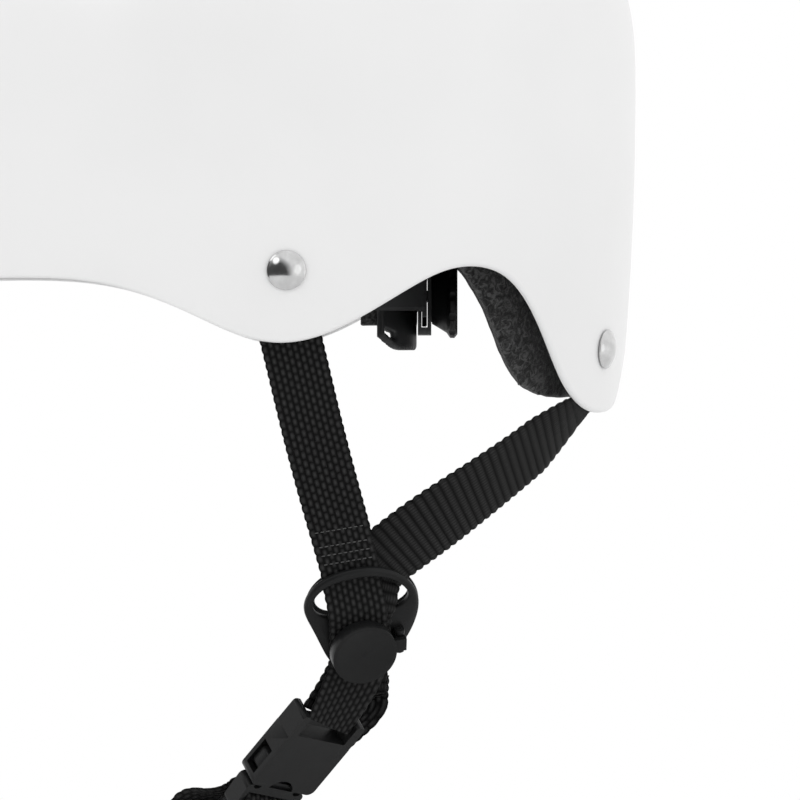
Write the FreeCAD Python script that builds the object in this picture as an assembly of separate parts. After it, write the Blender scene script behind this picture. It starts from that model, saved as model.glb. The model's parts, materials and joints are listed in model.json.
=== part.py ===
import FreeCAD, Part
import math
import os
from FreeCAD import Vector

# Water helmet, in millimetres. Front is -Y, the wearer's left is +X, up is +Z.
# The origin is the middle of the head opening, level with the front rim.

# Hard shell
HALF_WIDTH = 112.0
HALF_LENGTH = 134.0
WIDEST_Z = 66.0
CROWN_RISE = 85.0
CROWN_POWER_UP = 3.0
CROWN_POWER_IN = 2.5
LEAN_IN = 5.0
LEAN_DEPTH = 104.0
DOME_FLOOR_Z = -62.0
SHELL_T = 3.0

# Lining layers, each measured inwards from the shell's outer face
FIT_GAP = 0.3
LINER_OUT = SHELL_T + FIT_GAP
LINER_IN = 15.0
PAD_OUT = LINER_IN + FIT_GAP
PAD_IN = 24.0

# Side view of the shell's lower edge, (Y, Z) from the front rim to the rear lobe
SHELL_EDGE = [(-140, 5), (-95, 2.5), (-40, 0), (-12, -10.3), (6, -17.6), (18, -18.8), (39, -12),
              (58, -1), (77, 6.5), (90, 4), (99.7, -6.7), (109, -28), (115, -38.5), (122, -43),
              (128.5, -39.5), (132, -31)]
LINER_EDGE = [(-140, 9), (-95, 7), (-40, 4), (-12, -6.5), (6, -13.5), (18, -14.5), (39, -8),
              (58, 4), (76, 10), (90, 5), (99, -8), (107, -26), (113, -35), (120, -39), (134, -38)]
NAPE_PAD_EDGE = [(60, 26), (67, 12), (76, 2.5), (85, -14.3), (91, -29), (97, -36), (106, -38.3),
                 (134, -38)]
NAPE_ARCH_RISE = 22.0
NAPE_ARCH_HALF = 26.0
NAPE_ARCH_FOOT_Z = -44.0

# Where the liner and the pads are cut, in Y, in Z and in half widths
LINER_FRONT_Y = -50.0
LINER_REAR_Y = 64.0
LINER_TOP_Z = 98.0
LINER_SPLIT = 2.0
LINER_LIFT_AT_NAPE = 3.0
BROW_PAD_HALF = 58.0
BROW_PAD_Z = (10, 44)
SIDE_PAD_Y = (-38, 44)
SIDE_PAD_Z = (14, 52)
CROWN_PAD_LONG = (16, 62)
CROWN_PAD_WIDE = (52, 16)
NAPE_PAD_LOW = (14, 60)
NAPE_PAD_TOP_Z = 34.0

# Rivets that hold the straps
RIVET_R = 6.6
RIVET_DOME = 2.7
RIVET_SHANK_R = 2.0
RIVET_HOLE_R = 2.15
WASHER_R = 6.0
WASHER_T = 1.0
WASHER_INSET = 8.7
HEAD_SEAT = 0.35
EAR_RIVET_YZ = (17.3, 5.3)
REAR_RIVET_YZ = (123.6, -20.7)
STRAP_SEAT_INSET = 4.9

# Webbing
WEB_W = 20.0
WEB_T = 1.5
SIDE_WIDTH = Vector(0, 0.97, 0.243)
CHIN_WIDTH = Vector(0, -0.9, 0.43)

# Strap divider: a rounded ring with a round clamp below it
DIV_ORIGIN = Vector(74.0, 40.8, -117.5)
DIV_Z = Vector(0.80, 0.28, -0.53)
DIV_X = Vector(-0.248, 0.959, 0.133)
DIV_T = 2.6
DIV_CORNER_X = 11.5
DIV_CORNER_Y = 19.5
DIV_CORNER_R = 8.0
DIV_BAND = 3.0
CAP_R = 11.0
CAP_LOW = 5.0
CAP_T = 4.6
CAP_PIN_X = 13.6
CAP_PIN_Z = 3.2
CAP_PIN_R = 0.8
CAP_PIN_L = 8.6
SEAM_Y = -23.0

# Side release buckle on the wearer's left; local y runs down the strap
BUCKLE_ORIGIN = Vector(68.0, 31.0, -143.0)
BUCKLE_X = Vector(0.671, -0.723, 0.161)
BUCKLE_Y = Vector(-0.45, -0.57, -0.69)
SOCKET_L = 31.0
SOCKET_T = 9.0
PLUG_END = 45.0
PLUG_SLOTS = (35.4, 40.4)
PLUG_SLOT_L = 2.6
PRONG_ROOT_X = 8.8
PRONG_ROOT_Y = 33.2

# Chin strap, from the plug to the seam on the wearer's right
CHIN_PATH = [(39.5, -3.5, -178.5), (33.0, -9.0, -185.5), (28.0, -11.6, -188.8), (12.0, -17.8, -195.4),
             (-3, -19.3, -197.0), (-18, -16.5, -194.0), (-33, -8.5, -186.5), (-47, 4, -174.5),
             (-58, 17, -161)]
KEEPER_STEP = 2
TAIL_LIFT = 2.1

# Fit dial and cradle
DIAL_Z = -3.0
GEAR_MODULE = 1.0
PINION_TEETH = 12
PINION_R = GEAR_MODULE * PINION_TEETH / 2
RACK_BACK_Y = 62.4
RACK_T = 1.6
HOUSING_HALF = 35.0
CRADLE_R = 62.0
KNOB_R = 14.0
KNOB_SMALL_R = 9.6
PIN_R = 1.6
PIN_PLACE = Vector(90.4, -1, DIAL_Z + 1.5)

FAR = 170.0
X_AXIS = Vector(1, 0, 0)
Y_AXIS = Vector(0, 1, 0)
Z_AXIS = Vector(0, 0, 1)
ORIGIN = Vector(0, 0, 0)


# ---------------------------------------------------------------- helpers

def save(name, *solids):
    """Writes one node from one or more separate solids."""
    shape = solids[0] if len(solids) == 1 else Part.makeCompound(list(solids))
    shape.exportStep("parts/" + name + ".step")


def mirrored(shape):
    """The same piece on the wearer's right."""
    return shape.mirror(ORIGIN, X_AXIS)


def box(low, high):
    """Box between two corners."""
    return Part.makeBox(high[0] - low[0], high[1] - low[1], high[2] - low[2], Vector(*low))


def cylinder(radius, height, base, direction=Z_AXIS):
    return Part.makeCylinder(radius, height, base, direction)


def spline(points):
    """Smooth edge through points."""
    curve = Part.BSplineCurve()
    curve.interpolate(points)
    return curve.toShape()


def closed_face(curve_edge, corners):
    """Flat face bounded by a curve and then straight runs through corners, back to its start."""
    ends = [curve_edge.valueAt(curve_edge.LastParameter)] + corners
    ends.append(curve_edge.valueAt(curve_edge.FirstParameter))
    lines = [Part.LineSegment(a, b).toShape() for a, b in zip(ends, ends[1:])]
    return Part.Face(Part.Wire([curve_edge] + lines))


def frame_at(shape, origin, x_dir, z_dir):
    """Moves a shape from its own XY plane to a plane with the given x and normal."""
    z = Vector(z_dir).normalize()
    x = Vector(x_dir) - z * Vector(x_dir).dot(z)
    x.normalize()
    y = z.cross(x)
    matrix = FreeCAD.Matrix(x.x, y.x, z.x, origin.x, x.y, y.y, z.y, origin.y, x.z, y.z, z.z, origin.z,
                            0, 0, 0, 1)
    moved = shape.copy()
    moved.Placement = FreeCAD.Placement(matrix).multiply(moved.Placement)
    return moved


def hull_wire(circles, z=0.0):
    """Outline of a belt round circles (x, y, r), listed anticlockwise and convex."""
    count = len(circles)
    normals = []
    for i, (x1, y1, r1) in enumerate(circles):
        x2, y2, r2 = circles[(i + 1) % count]
        dx, dy = x2 - x1, y2 - y1
        length = math.hypot(dx, dy)
        along = (r1 - r2) / length
        across = math.sqrt(1 - along * along)
        normals.append(Vector(dx * along + dy * across, dy * along - dx * across, 0) / length)
    edges = []
    for i, (x, y, r) in enumerate(circles):
        centre = Vector(x, y, z)
        before, after = normals[i - 1], normals[i]
        middle = (before + after).normalize()
        edges.append(Part.Arc(centre + before * r, centre + middle * r, centre + after * r).toShape())
        x2, y2, r2 = circles[(i + 1) % count]
        edges.append(Part.LineSegment(centre + after * r, Vector(x2, y2, z) + after * r2).toShape())
    return Part.Wire(edges)


def hull_plate(circles, z0, z1):
    """Plate with a belt outline between two heights."""
    return Part.Face(hull_wire(circles, z0)).extrude(Vector(0, 0, z1 - z0))


def rounded_box(x, y, z0, z1, r, cx=0.0, cy=0.0):
    """Plate x by y with round corners, centred on cx, cy."""
    a, b = x / 2 - r, y / 2 - r
    corners = [(cx - a, cy - b, r), (cx + a, cy - b, r), (cx + a, cy + b, r), (cx - a, cy + b, r)]
    return hull_plate(corners, z0, z1)


def ribbon(points, width_hints, width=WEB_W, thick=WEB_T):
    """Flat strap along points; each hint says which way its width lies there."""
    wires = []
    last = len(points) - 1
    for i, point in enumerate(points):
        along = (points[min(i + 1, last)] - points[max(i - 1, 0)]).normalize()
        hint = width_hints[i]
        across = (hint - along * hint.dot(along)).normalize() * (width / 2)
        face_dir = along.cross(across).normalize() * (thick / 2)
        corners = [point + across + face_dir, point - across + face_dir,
                   point - across - face_dir, point + across - face_dir]
        wires.append(Part.makePolygon(corners + corners[:1]))
    return Part.makeLoft(wires, True, True)


# ---------------------------------------------------------------- shell and lining

def wall_factor(z):
    """How much of its widest plan the shell keeps at a height below the widest one."""
    return 1 - LEAN_IN / HALF_LENGTH * ((WIDEST_Z - z) / LEAN_DEPTH) ** 2


def dome(inset):
    """Solid dome whose face lies inset inside the shell's outer face."""
    unit = 100.0
    rise = CROWN_RISE - inset
    steps = 6
    points = []
    for i in range(steps):
        z = DOME_FLOOR_Z + (WIDEST_Z - DOME_FLOOR_Z) * i / steps
        points.append(Vector(unit * wall_factor(z), 0, z))
    for degrees in range(0, 90, 9):
        height = math.sin(math.radians(degrees))
        reach = (1 - height ** CROWN_POWER_UP) ** (1 / CROWN_POWER_IN)
        points.append(Vector(unit * reach, 0, WIDEST_Z + rise * height))
    points.append(Vector(0, 0, WIDEST_Z + rise))
    floor_lean = unit * LEAN_IN / HALF_LENGTH * 2 * (WIDEST_Z - DOME_FLOOR_Z) / LEAN_DEPTH ** 2
    curve = Part.BSplineCurve()
    curve.interpolate(Points=points, InitialTangent=Vector(floor_lean, 0, 1), FinalTangent=Vector(-1, 0, 0))
    face = closed_face(curve.toShape(), [Vector(0, 0, DOME_FLOOR_Z)])
    round_dome = face.revolve(ORIGIN, Z_AXIS, 360)
    stretch = FreeCAD.Matrix()
    stretch.scale((HALF_WIDTH - inset) / unit, (HALF_LENGTH - inset) / unit, 1)
    return round_dome.transformGeometry(stretch)


def layer(outer_inset, inner_inset):
    """Skin of the dome between two insets."""
    return dome(outer_inset).cut(dome(inner_inset))


def above(edge, half=FAR):
    """Everything above a side-view curve."""
    curve = spline([Vector(-half, y, z) for y, z in edge])
    top = FAR
    corners = [Vector(-half, FAR, edge[-1][1]), Vector(-half, FAR, top), Vector(-half, -FAR, top),
               Vector(-half, -FAR, edge[0][1])]
    return closed_face(curve, corners).extrude(Vector(2 * half, 0, 0))


def nape_arch(raise_by=0.0):
    """The space cut out between the two rear lobes."""
    points = []
    steps = 8
    for i in range(steps + 1):
        x = NAPE_ARCH_HALF * (2 * i / steps - 1)
        swell = 0.5 + 0.5 * math.cos(math.pi * x / NAPE_ARCH_HALF)
        points.append(Vector(x, 40, NAPE_ARCH_FOOT_Z + raise_by + NAPE_ARCH_RISE * swell))
    low = DOME_FLOOR_Z - 20
    corners = [Vector(NAPE_ARCH_HALF, 40, low), Vector(-NAPE_ARCH_HALF, 40, low)]
    return closed_face(spline(points), corners).extrude(Vector(0, FAR, 0))


def wall_point(y, z, inset=0.0):
    """Point on the left wall at y, z and an inset, with the outward normal there."""
    keep = wall_factor(z)
    a, b = (HALF_WIDTH - inset) * keep, (HALF_LENGTH - inset) * keep
    x = a * math.sqrt(1 - (y / b) ** 2)
    slope = 2 * LEAN_IN / HALF_LENGTH * (WIDEST_Z - z) / LEAN_DEPTH ** 2
    normal = Vector(x / a / a, y / b / b, -slope / keep).normalize()
    return Vector(x, y, z), normal


def rivet_seat(place, inset):
    """Rivet centre at an inset along the wall's normal, and that normal."""
    point, normal = wall_point(*place)
    return point - normal * inset, normal


def rivet(place):
    """Domed rivet head outside the shell with its shank through to the washer."""
    point, normal = rivet_seat(place, 0)
    ball_r = (RIVET_R ** 2 + RIVET_DOME ** 2) / (2 * RIVET_DOME)
    ball = Part.makeSphere(ball_r, Vector(0, 0, RIVET_DOME - ball_r))
    head = ball.common(cylinder(RIVET_R + 1, RIVET_DOME + 1, ORIGIN))
    tail_z = -WASHER_INSET - HEAD_SEAT - 0.1
    shank = cylinder(RIVET_SHANK_R, 1 - tail_z, Vector(0, 0, tail_z))
    tail = cylinder(RIVET_SHANK_R + 1.2, 0.6, Vector(0, 0, tail_z - 0.6))
    return frame_at(head.fuse([shank, tail]), point + normal * HEAD_SEAT, Y_AXIS, normal)


def washer(place):
    point, normal = rivet_seat(place, WASHER_INSET)
    ring = cylinder(WASHER_R, WASHER_T, ORIGIN).cut(cylinder(RIVET_HOLE_R, WASHER_T, ORIGIN))
    return frame_at(ring, point, Y_AXIS, normal)


def rivet_hole(place, radius=RIVET_HOLE_R):
    point, normal = rivet_seat(place, 14)
    return cylinder(radius, 20, point, normal)


# ---------------------------------------------------------------- straps

def divider_point(x, y, z):
    """Point given in the divider's own frame."""
    normal = Vector(DIV_Z).normalize()
    across = Vector(DIV_X) - normal * Vector(DIV_X).dot(normal)
    across.normalize()
    return DIV_ORIGIN + across * x + normal.cross(across) * y + normal * z


def buckle_point(x, y, z):
    """Point given in the buckle's own frame."""
    return BUCKLE_ORIGIN + BUCKLE_X * x + BUCKLE_Y * y + BUCKLE_X.cross(BUCKLE_Y) * z


def front_strap():
    """Front run: ear rivet, divider, under the clamp, down to the buckle's bar."""
    across = Vector(DIV_X)
    points = [Vector(103.9, 10.4, 16), Vector(103.6, 13, 5.3), Vector(101.4, 19, -19),
              Vector(91.5, 27.5, -55), divider_point(-2.5, 27.5, -2.5), divider_point(-2.2, 23.8, -2.2),
              divider_point(-1.8, 19, 0.7), divider_point(-1.4, 15, 3.4), divider_point(-1, 11, 3.95),
              divider_point(-0.6, 0, 3.95), divider_point(-0.3, -11, 3.8)]
    hints = [SIDE_WIDTH] * 4 + [across] * 7
    return points, hints


def rear_strap():
    """Rear run: rear rivet, out under the lobe, a half twist to the divider and on to the buckle."""
    top, normal = rivet_seat(REAR_RIVET_YZ, STRAP_SEAT_INSET)
    flat = Vector(normal.y, -normal.x, 0)
    across = Vector(DIV_X)
    points = [top + Vector(0.1, 0.3, 9), top, top - normal * 0.9 + Vector(0, 0, -16),
              top + Vector(1, -8.5, -24.5), Vector(52, 91, -61), divider_point(8.0, 27.5, -4.4),
              divider_point(5.6, 22.5, -3.6), divider_point(4.0, 18.5, -1.5), divider_point(2.0, 14.5, 1.9),
              divider_point(1.0, 11, 2.2), divider_point(0.2, 0, 2.2), divider_point(-0.2, -11, 2.1)]
    hints = [-flat, -flat, -flat, -flat + across * 0.3, across * 0.9 - flat] + [across] * 7
    return points, hints


def run_to_buckle(run, height):
    """A run on the left, carried on to the socket's bar, above or below it."""
    points, hints = run
    return ribbon(points + [buckle_point(0, 1.9, height)], hints + [-BUCKLE_X])


def run_to_seam(run, height):
    """A run on the right, carried on to the seam with the chin strap; drawn on the left."""
    points, hints = run
    return ribbon(points + [divider_point(-0.3, SEAM_Y, height)], hints + [Vector(DIV_X)])


def divider():
    """Ring for the two runs above, and the clamp's base disc below."""
    outer = [(0, 0, CAP_R), (DIV_CORNER_X, DIV_CORNER_Y, DIV_CORNER_R),
             (-DIV_CORNER_X, DIV_CORNER_Y, DIV_CORNER_R)]
    inner_r = DIV_CORNER_R - DIV_BAND
    inner = [(12.2, 13.5, 1.5), (DIV_CORNER_X, DIV_CORNER_Y, inner_r),
             (-DIV_CORNER_X, DIV_CORNER_Y, inner_r), (-12.2, 13.5, 1.5)]
    half = DIV_T / 2
    plate = hull_plate(outer, -half, half).cut(hull_plate(inner, -half, half))
    lug_reach = CAP_PIN_X - CAP_R + 3
    for side in (-1, 1):
        middle = side * 3.4
        foot = box((CAP_PIN_X - lug_reach, middle - 0.9, -half), (CAP_PIN_X + 1.8, middle + 0.9, half))
        post = box((CAP_PIN_X - 1.8, middle - 0.9, -half), (CAP_PIN_X + 1.8, middle + 0.9, CAP_PIN_Z))
        eye = cylinder(1.8, 1.8, Vector(CAP_PIN_X, middle - 0.9, CAP_PIN_Z), Y_AXIS)
        plate = plate.fuse([foot, post, eye])
    bore = cylinder(CAP_PIN_R + 0.03, CAP_PIN_L, Vector(CAP_PIN_X, -CAP_PIN_L / 2, CAP_PIN_Z), Y_AXIS)
    return frame_at(plate.cut(bore).removeSplitter(), DIV_ORIGIN, DIV_X, DIV_Z)


def clamp_cap():
    """Round clamp cap with its hinge knuckle."""
    cap = cylinder(CAP_R, CAP_T, Vector(0, 0, CAP_LOW))
    dish = Part.makeSphere(60, Vector(0, 0, CAP_LOW + CAP_T + 59.2))
    cap = cap.cut(dish)
    arm = box((CAP_R - 2, -2.2, CAP_LOW), (CAP_PIN_X, 2.2, CAP_LOW + 1.6))
    eye = cylinder(1.8, 4.4, Vector(CAP_PIN_X, -2.2, CAP_PIN_Z), Y_AXIS)
    web = box((CAP_PIN_X - 1.6, -2.2, CAP_PIN_Z), (CAP_PIN_X + 1.6, 2.2, CAP_LOW + 1.6))
    bore = cylinder(CAP_PIN_R + 0.03, 6, Vector(CAP_PIN_X, -3, CAP_PIN_Z), Y_AXIS)
    cap = cap.fuse([arm, eye, web]).cut(bore)
    return frame_at(cap.removeSplitter(), DIV_ORIGIN, DIV_X, DIV_Z)


def clamp_pin():
    pin = cylinder(CAP_PIN_R, CAP_PIN_L, Vector(CAP_PIN_X, -CAP_PIN_L / 2, CAP_PIN_Z), Y_AXIS)
    return frame_at(pin, DIV_ORIGIN, DIV_X, DIV_Z)


# ---------------------------------------------------------------- buckle

def in_buckle(shape):
    return frame_at(shape, BUCKLE_ORIGIN, BUCKLE_X, BUCKLE_X.cross(BUCKLE_Y))


def socket():
    """Receiving half: hollow body with side windows, and two posts with a bar for the webbing."""
    half = SOCKET_T / 2
    body = hull_plate([(-12, 9, 2), (12, 9, 2), (11.5, SOCKET_L - 2.5, 2.5), (-11.5, SOCKET_L - 2.5, 2.5)],
                      -half, half)
    for side in (-1, 1):
        post = rounded_box(3.4, 13, -half, half, 1.2, side * 12.2, 5.0)
        body = body.fuse(post)
    bar = box((-12, 0.4, -1.6), (12, 3.6, 1.6))
    body = body.fuse(bar)
    cavity = box((-11.2, 13.0, -2.9), (11.2, SOCKET_L + 1, 2.9))
    windows = box((-20, 16.8, -2.9), (20, 27.6, 2.9))
    grip = cylinder(5.4, 12, Vector(0, SOCKET_L + 1.6, -6))
    return in_buckle(body.cut(cavity).cut(windows).cut(grip).removeSplitter())


def plug():
    """Entering half: base with webbing bars, guide tongue and round seats for the prongs."""
    base = hull_plate([(-10.5, 33.8, 2), (10.5, 33.8, 2), (9.6, PLUG_END - 2, 2), (-9.6, PLUG_END - 2, 2)],
                      -3.5, 3.5)
    neck = box((-10.9, 30.0, -2.5), (10.9, 33.0, 2.5))
    tongue = hull_plate([(-1.8, 31, 1.2), (1.8, 31, 1.2), (1.2, 16.5, 1.2), (-1.2, 16.5, 1.2)][::-1],
                        -1.6, 1.6)
    body = base.fuse([neck, tongue])
    for y in PLUG_SLOTS:
        body = body.cut(box((-10.3, y, -5), (10.3, y + PLUG_SLOT_L, 5)))
    for side in (-1, 1):
        x = side * PRONG_ROOT_X
        seat = cylinder(1.55, 10, Vector(x, PRONG_ROOT_Y - 1.4, -5))
        way_out = box((x - 1.75, 25, -5), (x + 1.75, PRONG_ROOT_Y - 1.4, 5))
        body = body.cut(seat.fuse(way_out))
    return in_buckle(body.removeSplitter())


def prong(side):
    """One springy release prong; it bends at its round root."""
    root_y = PRONG_ROOT_Y - 1.4
    root = cylinder(1.5, 4.8, Vector(PRONG_ROOT_X, root_y, -2.4))
    arm = box((PRONG_ROOT_X - 0.9, 20, -2.4), (PRONG_ROOT_X + 0.9, root_y, 2.4))
    bulge = hull_plate([(9.2, 18.9, 1.2), (11.6, 20.6, 1.4), (11.4, 25.0, 1.6), (9.4, 26.3, 0.9)], -2.4, 2.4)
    piece = root.fuse([arm, bulge]).removeSplitter()
    if side < 0:
        piece = piece.mirror(ORIGIN, X_AXIS)
    return in_buckle(piece)


def mirror_x(vector):
    return Vector(-vector.x, vector.y, vector.z)


def chin_strap():
    """From the plug's bar under the chin, then up to the sewn seam on the wearer's right."""
    bar_y = (PLUG_SLOTS[0] + PLUG_SLOTS[1]) / 2 + PLUG_SLOT_L / 2
    far_slot = PLUG_SLOTS[1] + PLUG_SLOT_L / 2
    over, under_z = 4.4, -4.4
    start = [buckle_point(0, bar_y, over), buckle_point(0, far_slot, over - 0.6),
             buckle_point(0, far_slot + 0.1, under_z + 0.6), buckle_point(0, PLUG_END, under_z)]
    end = [mirror_x(divider_point(-0.3, SEAM_Y - 4, 4.9)), mirror_x(divider_point(-0.3, SEAM_Y, 5.3)),
           mirror_x(divider_point(-0.3, SEAM_Y + 9, 5.6))]
    points = start + [Vector(*p) for p in CHIN_PATH] + end
    right = mirror_x(Vector(DIV_X))
    hints = [BUCKLE_X] * 4 + [BUCKLE_X * 0.8 + CHIN_WIDTH * 0.2, BUCKLE_X * 0.4 + CHIN_WIDTH * 0.6]
    hints += [CHIN_WIDTH] * 4 + [CHIN_WIDTH * a - right * (1 - a) for a in (0.8, 0.5, 0.2)] + [-right] * 3
    return ribbon(points, hints)


def keeper_seat():
    """Middle of the strap's straight stretch below the plug, its run, width and inner side."""
    a, b = Vector(*CHIN_PATH[KEEPER_STEP]), Vector(*CHIN_PATH[KEEPER_STEP + 1])
    along = (b - a).normalize()
    across = (CHIN_WIDTH - along * CHIN_WIDTH.dot(along)).normalize()
    inward = along.cross(across).normalize()
    if inward.z < 0:
        inward = inward * -1
    return (a + b) / 2, along, across, inward


def strap_tail():
    """Loose end of the chin strap: back out of the plug, a slack bow, then under the keeper."""
    middle, along, across, inward = keeper_seat()
    near_slot = PLUG_SLOTS[0] + PLUG_SLOT_L / 2
    lift = inward * TAIL_LIFT
    bar_y = (PLUG_SLOTS[0] + PLUG_SLOTS[1]) / 2 + PLUG_SLOT_L / 2
    points = [buckle_point(0, bar_y, 4.4), buckle_point(0, near_slot, 3.6),
              buckle_point(0, near_slot, -4.6), buckle_point(0, 38.6, -6.4), buckle_point(0, 43, -6.9),
              Vector(42.0, -1.0, -169.8), Vector(36.0, -9.5, -170.6), Vector(30.5, -14.5, -177.0),
              middle - along * 9 + lift * 1.15, middle + lift, middle + along * 12 + lift * 1.1]
    hints = [BUCKLE_X] * 5 + [BUCKLE_X * a + CHIN_WIDTH * (1 - a) for a in (0.9, 0.6, 0.3)]
    return ribbon(points, hints + [CHIN_WIDTH] * 3)


def keeper():
    """Moulded loop that holds the loose end against the strap."""
    middle, along, across, inward = keeper_seat()
    inside_x, inside_y, wall, length = WEB_W + 1.6, 2 * WEB_T + 1.8, 1.3, 6.0
    outer = rounded_box(inside_x + 2 * wall, inside_y + 2 * wall, -length / 2, length / 2, 1.5)
    ring = outer.cut(rounded_box(inside_x, inside_y, -length / 2, length / 2, 0.6))
    return frame_at(ring, middle + inward * (TAIL_LIFT / 2), across, along)


# ---------------------------------------------------------------- fit system

def pinion():
    """Small gear on the dial's shaft; its axis is along Y."""
    outline = []
    half_pitch_angle = 0.40 * math.pi / PINION_TEETH
    sizes = [(PINION_R - 1.05, half_pitch_angle * 1.25), (PINION_R, half_pitch_angle),
             (PINION_R + 0.65, half_pitch_angle * 0.42)]
    for tooth in range(PINION_TEETH):
        middle = 2 * math.pi * tooth / PINION_TEETH
        flank = [(r, middle - a) for r, a in sizes] + [(r, middle + a) for r, a in reversed(sizes)]
        outline += [Vector(r * math.sin(a), 0, r * math.cos(a)) for r, a in flank]
    gear = Part.Face(Part.makePolygon(outline + outline[:1])).extrude(Vector(0, RACK_T, 0))
    gear = gear.cut(cylinder(2.0, RACK_T, ORIGIN, Y_AXIS))
    gear.translate(Vector(0, RACK_BACK_Y, DIAL_Z))
    return gear


def rack_left():
    """Toothed end of the left headband arm; it passes above the pinion."""
    pitch = math.pi * GEAR_MODULE
    low, high = PINION_R + 1.1, PINION_R + 4.0
    inner_end, outer_end = -26.0, 36.0
    bar = box((inner_end, RACK_BACK_Y, low), (outer_end, RACK_BACK_Y + RACK_T, high))
    first = math.ceil((inner_end + 1.5) / pitch - 0.5)
    teeth = []
    for n in range(first, 8):
        x = (n + 0.5) * pitch
        corners = [Vector(x + dx, RACK_BACK_Y, z) for dx, z in
                   ((-1.0, low + 0.1), (-0.42, PINION_R - 0.65), (0.42, PINION_R - 0.65), (1.0, low + 0.1))]
        teeth.append(Part.Face(Part.makePolygon(corners + corners[:1])).extrude(Vector(0, RACK_T, 0)))
    tab = box((outer_end, RACK_BACK_Y, -high + 3), (outer_end + 9, RACK_BACK_Y + RACK_T, high))
    rack = bar.fuse(teeth + [tab]).removeSplitter()
    rack.translate(Vector(0, 0, DIAL_Z))
    return rack


def rack_right():
    """The right arm's toothed end, turned half a turn about the dial's axis, below the pinion."""
    return rack_left().copy().rotate(Vector(0, 0, DIAL_Z), Y_AXIS, 180)


def housing_base():
    """Plate behind the racks with walls above and below them."""
    outline = rounded_box(2 * HOUSING_HALF, 26, 0, 1.2, 6)
    ends = rounded_box(2 * HOUSING_HALF, 26, 1.2, 3.2, 6)
    channel = box((-HOUSING_HALF - 1, -PINION_R - 4.4, 1.2), (HOUSING_HALF + 1, PINION_R + 4.4, 3.2))
    plate = outline.fuse(ends.cut(channel))
    plate = plate.cut(cylinder(2.05, 2, ORIGIN))
    return frame_at(plate.removeSplitter(), Vector(0, RACK_BACK_Y - 1.4, DIAL_Z), X_AXIS * -1, Y_AXIS)


def housing_cover():
    """Rear plate over the racks, with the collar the dial turns in."""
    plate = rounded_box(2 * HOUSING_HALF, 26, 0, 1.2, 6)
    collar = cylinder(8.6, 1.8, Vector(0, 0, 1.2)).cut(cylinder(7.2, 1.8, Vector(0, 0, 1.2)))
    plate = plate.fuse(collar).cut(cylinder(3.05, 4, ORIGIN))
    face = Vector(0, RACK_BACK_Y + RACK_T + 0.25, DIAL_Z)
    return frame_at(plate.removeSplitter(), face, X_AXIS * -1, Y_AXIS)


def dial_shaft():
    """Plain shaft through the pinion and the dial."""
    return cylinder(1.98, 11.5, Vector(0, RACK_BACK_Y - 1.4, DIAL_Z), Y_AXIS)


def dial_knob():
    """Flared thumb dial with a finger rim and finger hollows."""
    start = RACK_BACK_Y + RACK_T + 1.25
    profile = [Vector(KNOB_SMALL_R - 0.4, start + 0.4, 0), Vector(KNOB_SMALL_R, start + 1.2, 0),
               Vector(KNOB_R - 1.8, start + 5.4, 0), Vector(KNOB_R, start + 6.6, 0),
               Vector(KNOB_R, start + 8.0, 0), Vector(KNOB_R - 1.4, start + 9.0, 0),
               Vector(4.2, start + 9.0, 0), Vector(4.2, start + 7.4, 0), Vector(2.0, start + 7.4, 0),
               Vector(2.0, start + 2.4, 0), Vector(KNOB_SMALL_R - 0.4, start + 2.4, 0)]
    face = Part.Face(Part.makePolygon(profile + profile[:1]))
    knob = face.revolve(ORIGIN, Y_AXIS, 360)
    hollows = 12
    for n in range(hollows):
        angle = 2 * math.pi * n / hollows
        reach = KNOB_R + 2.0
        centre = Vector(reach * math.sin(angle), start + 4.6, reach * math.cos(angle))
        knob = knob.cut(cylinder(2.6, 8, centre, Y_AXIS))
    knob.translate(Vector(0, 0, DIAL_Z))
    return knob


def detent_spring():
    """Flat spring ring between the cover and the dial."""
    start = RACK_BACK_Y + RACK_T + 1.65
    ring = cylinder(6.9, 0.8, Vector(0, start, DIAL_Z), Y_AXIS).cut(
        cylinder(5.6, 0.8, Vector(0, start, DIAL_Z), Y_AXIS))
    return ring


def arc_band(radius, thick, half_angle, z0, z1, middle_y):
    """Upright band curved round the back of the head, its middle at middle_y."""
    centre = Vector(0, middle_y - radius, 0)

    def arc(r, sign):
        angles = (-sign * half_angle, 0, sign * half_angle)
        ends = [centre + Vector(r * math.sin(a), r * math.cos(a), 0) for a in angles]
        return Part.Arc(*ends).toShape(), ends[0], ends[2]

    outer, outer_start, outer_end = arc(radius, 1)
    inner, inner_start, inner_end = arc(radius - thick, -1)
    join = [Part.LineSegment(outer_end, inner_start).toShape(),
            Part.LineSegment(inner_end, outer_start).toShape()]
    face = Part.Face(Part.Wire([outer, join[0], inner, join[1]]))
    face.translate(Vector(0, 0, z0))
    return face.extrude(Vector(0, 0, z1 - z0))


def cradle_frame():
    """Moulded cradle that carries the dial and its pad; loops hang from its lower rail."""
    band = arc_band(CRADLE_R, 2.4, 0.62, -21, 11, 60.6)
    window = box((-26, 40, -7), (26, 70, 4))
    loop_slots = [box((side * 31 - 3.2, 40, -18.6), (side * 31 + 3.2, 70, -15.8)) for side in (-1, 1)]
    seat = box((-9, 59.4, -12), (9, 60.8, 6))
    frame = band.cut(window)
    for slot in loop_slots:
        frame = frame.cut(slot)
    return frame.fuse(seat).removeSplitter()


def cradle_pad():
    """Soft pad on the head side of the cradle."""
    return arc_band(CRADLE_R - 2.8, 7.5, 0.64, -14, 10, 57.8)


def arm_path():
    return [(45.4, 63.1), (52, 60.5), (64, 52), (76, 39), (85.5, 24), (91, 8), (92.6, -6)]


def arm_left():
    """Flexible headband arm from the rack's tab forward to its anchor by the temple."""
    points = [Vector(x, y, DIAL_Z + 1.5) for x, y in arm_path()]
    return ribbon(points, [Z_AXIS] * len(points), 13.0, 1.6).cut(pin_hole())


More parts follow.
